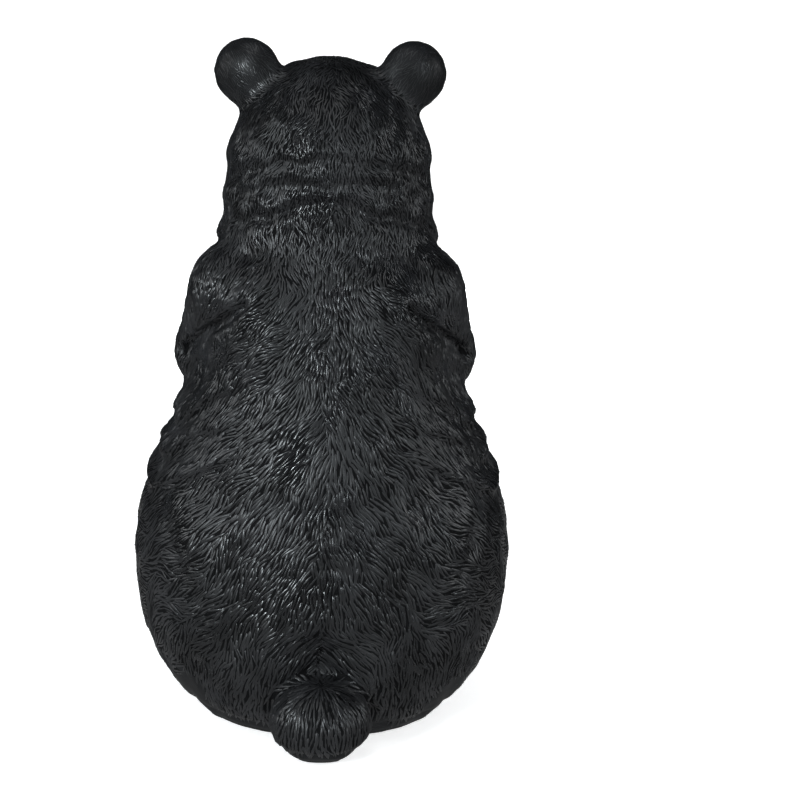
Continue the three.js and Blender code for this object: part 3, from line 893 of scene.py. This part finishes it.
pale = bpy.data.materials.new("pale paper")
pale.use_nodes = True
paper = pale.node_tree.nodes["Principled BSDF"]
paper.inputs["Base Color"].default_value = (0.86, 0.86, 0.86, 1)
paper.inputs["Roughness"].default_value = 0.9
paper.inputs["Emission Color"].default_value = (1, 1, 1, 1)
paper.inputs["Emission Strength"].default_value = 0.6
sweep.data.materials.append(pale)
print("sweep:", len(sweep.data.polygons), "faces")


# %% Lights
LIT_CENTRE = Vector((0, 0, 0.19))
COOL, FAINTLY_COOL, NEARLY_WHITE, WHITE = (0.88, 0.96, 1), (0.95, 0.98, 1), (0.96, 0.98, 1), (1, 1, 1)
# Turn from straight behind and lift in degrees, distance and size in metres, watts, colour.
LIGHTS = {
    "key": (32, 13, 1.9, 0.35, 21, COOL),
    "fill": (-38, 14, 2.0, 0.4, 6, COOL),
    "left side": (78, 14, 1.8, 0.9, 7, FAINTLY_COOL),
    "right side": (-80, 12, 1.8, 0.9, 6, FAINTLY_COOL),
    "top": (10, 65, 1.8, 1.0, 6, NEARLY_WHITE),
    "front": (180, 0, 1.3, 0.3, 4, NEARLY_WHITE),
    "floor bounce": (0, -90, 0.189, 1.2, 0.7, WHITE),
}


def soft_light(name, turn, lift, distance, size, watts, colour):
    lamp = bpy.data.lights.new(name, "AREA")
    lamp.shape, lamp.size, lamp.energy, lamp.color = "DISK", size, watts, colour
    light = bpy.data.objects.new(name, lamp)
    turn, lift = math.radians(turn), math.radians(lift)
    level = math.cos(lift)
    towards = Vector((math.sin(turn) * level, math.cos(turn) * level, math.sin(lift)))
    light.location = towards * distance + LIT_CENTRE
    light.rotation_euler = towards.to_track_quat("Z", "Y").to_euler()
    bpy.context.scene.collection.objects.link(light)
    return light


lights = {name: soft_light(name, *values) for name, values in LIGHTS.items()}
lights["floor bounce"].visible_camera = False

world = bpy.data.worlds.new("studio air")
world.use_nodes = True
air = world.node_tree.nodes["Background"]
air.inputs["Color"].default_value = (0.9, 0.95, 1, 1)
air.inputs["Strength"].default_value = 0.05
bpy.context.scene.world = world
bpy.context.scene.view_settings.view_transform = "Standard"
print("lights:", list(lights))

# %% Camera
IMAGE_WIDE = 800
BEAR_PIXEL = (324.75, 375)
BEAR_CENTRE = Vector((0, 0, 190)) * MM
VIEW_TURN, VIEW_PITCH, VIEW_ROLL = map(math.radians, (-0.375, 13, 1.01))
VIEW_DISTANCE = 1.556
PIXELS_PER_METRE = 1770.9
SENSOR_WIDE = 36

forward = Vector((
    math.sin(VIEW_TURN) * math.cos(VIEW_PITCH),
    -math.cos(VIEW_TURN) * math.cos(VIEW_PITCH),
    -math.sin(VIEW_PITCH),
))
right = forward.cross(Vector((0, 0, 1))).normalized()
above = right.cross(forward)
right, above = (
    right * math.cos(VIEW_ROLL) + above * math.sin(VIEW_ROLL),
    above * math.cos(VIEW_ROLL) - right * math.sin(VIEW_ROLL),
)
focal_pixels = PIXELS_PER_METRE * VIEW_DISTANCE
aim = forward * focal_pixels
aim += right * (IMAGE_WIDE / 2 - BEAR_PIXEL[0]) - above * (IMAGE_WIDE / 2 - BEAR_PIXEL[1])
aim.normalize()
right = (right - aim * right.dot(aim)).normalized()
above = right.cross(aim)

camera = bpy.data.objects.new("camera", bpy.data.cameras.new("camera"))
camera.data.sensor_width = SENSOR_WIDE
camera.data.lens = SENSOR_WIDE * focal_pixels / IMAGE_WIDE
place = Matrix((right, above, -aim)).transposed().to_4x4()
place.translation = BEAR_CENTRE - forward * VIEW_DISTANCE
camera.matrix_world = place
bpy.context.scene.collection.objects.link(camera)
bpy.context.scene.camera = camera
print("camera:", [round(value, 3) for value in camera.location], "lens", round(camera.data.lens, 1))
